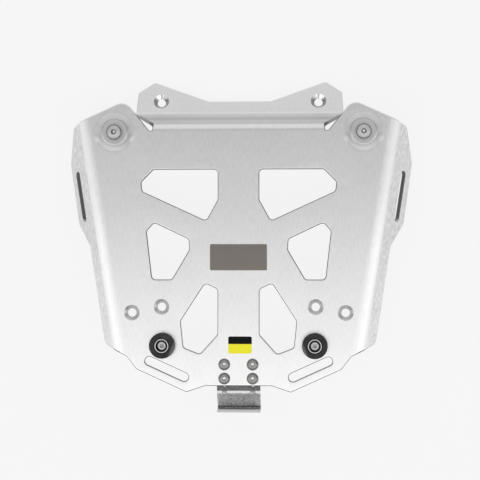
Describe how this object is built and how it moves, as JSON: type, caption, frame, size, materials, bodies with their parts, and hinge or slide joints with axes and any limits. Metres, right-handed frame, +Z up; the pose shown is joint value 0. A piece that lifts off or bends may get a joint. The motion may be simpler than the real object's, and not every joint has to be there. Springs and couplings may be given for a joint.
{
  "type": "motorcycle luggage rack",
  "caption": "Formed aluminium rear rack plate with side flanges, sloping front tongue, lightening windows, rubber pucks and an adjustable steel latch bracket.",
  "frame": {"origin": "upper face of the deck, on the middle line, 106.3 mm in front of the pucks' centres", "axes": "+Z up out of the deck, +Y to the front of the motorcycle (the tongue), +X across to the right"},
  "size_m": [0.3506, 0.3346, 0.0552],
  "materials": {
    "aluminium_sheet": "fine vertical brushing, satin",
    "stainless_steel": "turned, satin",
    "zinc_steel": "bright zinc plating",
    "black_rubber": "matt",
    "bracket_steel": "rough dark grey",
    "badge_metal": "dark, brushed sideways",
    "sticker_print": "yellow field under a black band"
  },
  "bodies": {
    "rack": {"rack_plate": "aluminium_sheet", "badge_plate": "badge_metal", "colour_sticker": "sticker_print", "right_corner_washer": "stainless_steel", "right_corner_screw": "stainless_steel", "right_corner_nut": "zinc_steel", "right_rubber_puck": "black_rubber", "right_puck_sleeve": "stainless_steel", "right_puck_screw": "stainless_steel", "right_puck_washer": "zinc_steel", "right_puck_nut": "zinc_steel", "left_corner_washer": "stainless_steel", "left_corner_screw": "stainless_steel", "left_corner_nut": "zinc_steel", "left_rubber_puck": "black_rubber", "left_puck_sleeve": "stainless_steel", "left_puck_screw": "stainless_steel", "left_puck_washer": "zinc_steel", "left_puck_nut": "zinc_steel", "front_left_latch_screw": "stainless_steel", "front_left_latch_washer": "zinc_steel", "front_left_latch_nut": "zinc_steel", "front_right_latch_screw": "stainless_steel", "front_right_latch_washer": "zinc_steel", "front_right_latch_nut": "zinc_steel", "rear_left_latch_screw": "stainless_steel", "rear_left_latch_washer": "zinc_steel", "rear_left_latch_nut": "zinc_steel", "rear_right_latch_screw": "stainless_steel", "rear_right_latch_washer": "zinc_steel", "rear_right_latch_nut": "zinc_steel"},
    "latch": {"latch_bracket": "bracket_steel"}
  },
  "joints": [
    {"name": "latch_adjustment", "type": "slide", "parent": "rack", "child": "latch", "axis": [0, 1, 0], "range_m": [-0.0045, 0.0045]}
  ]
}
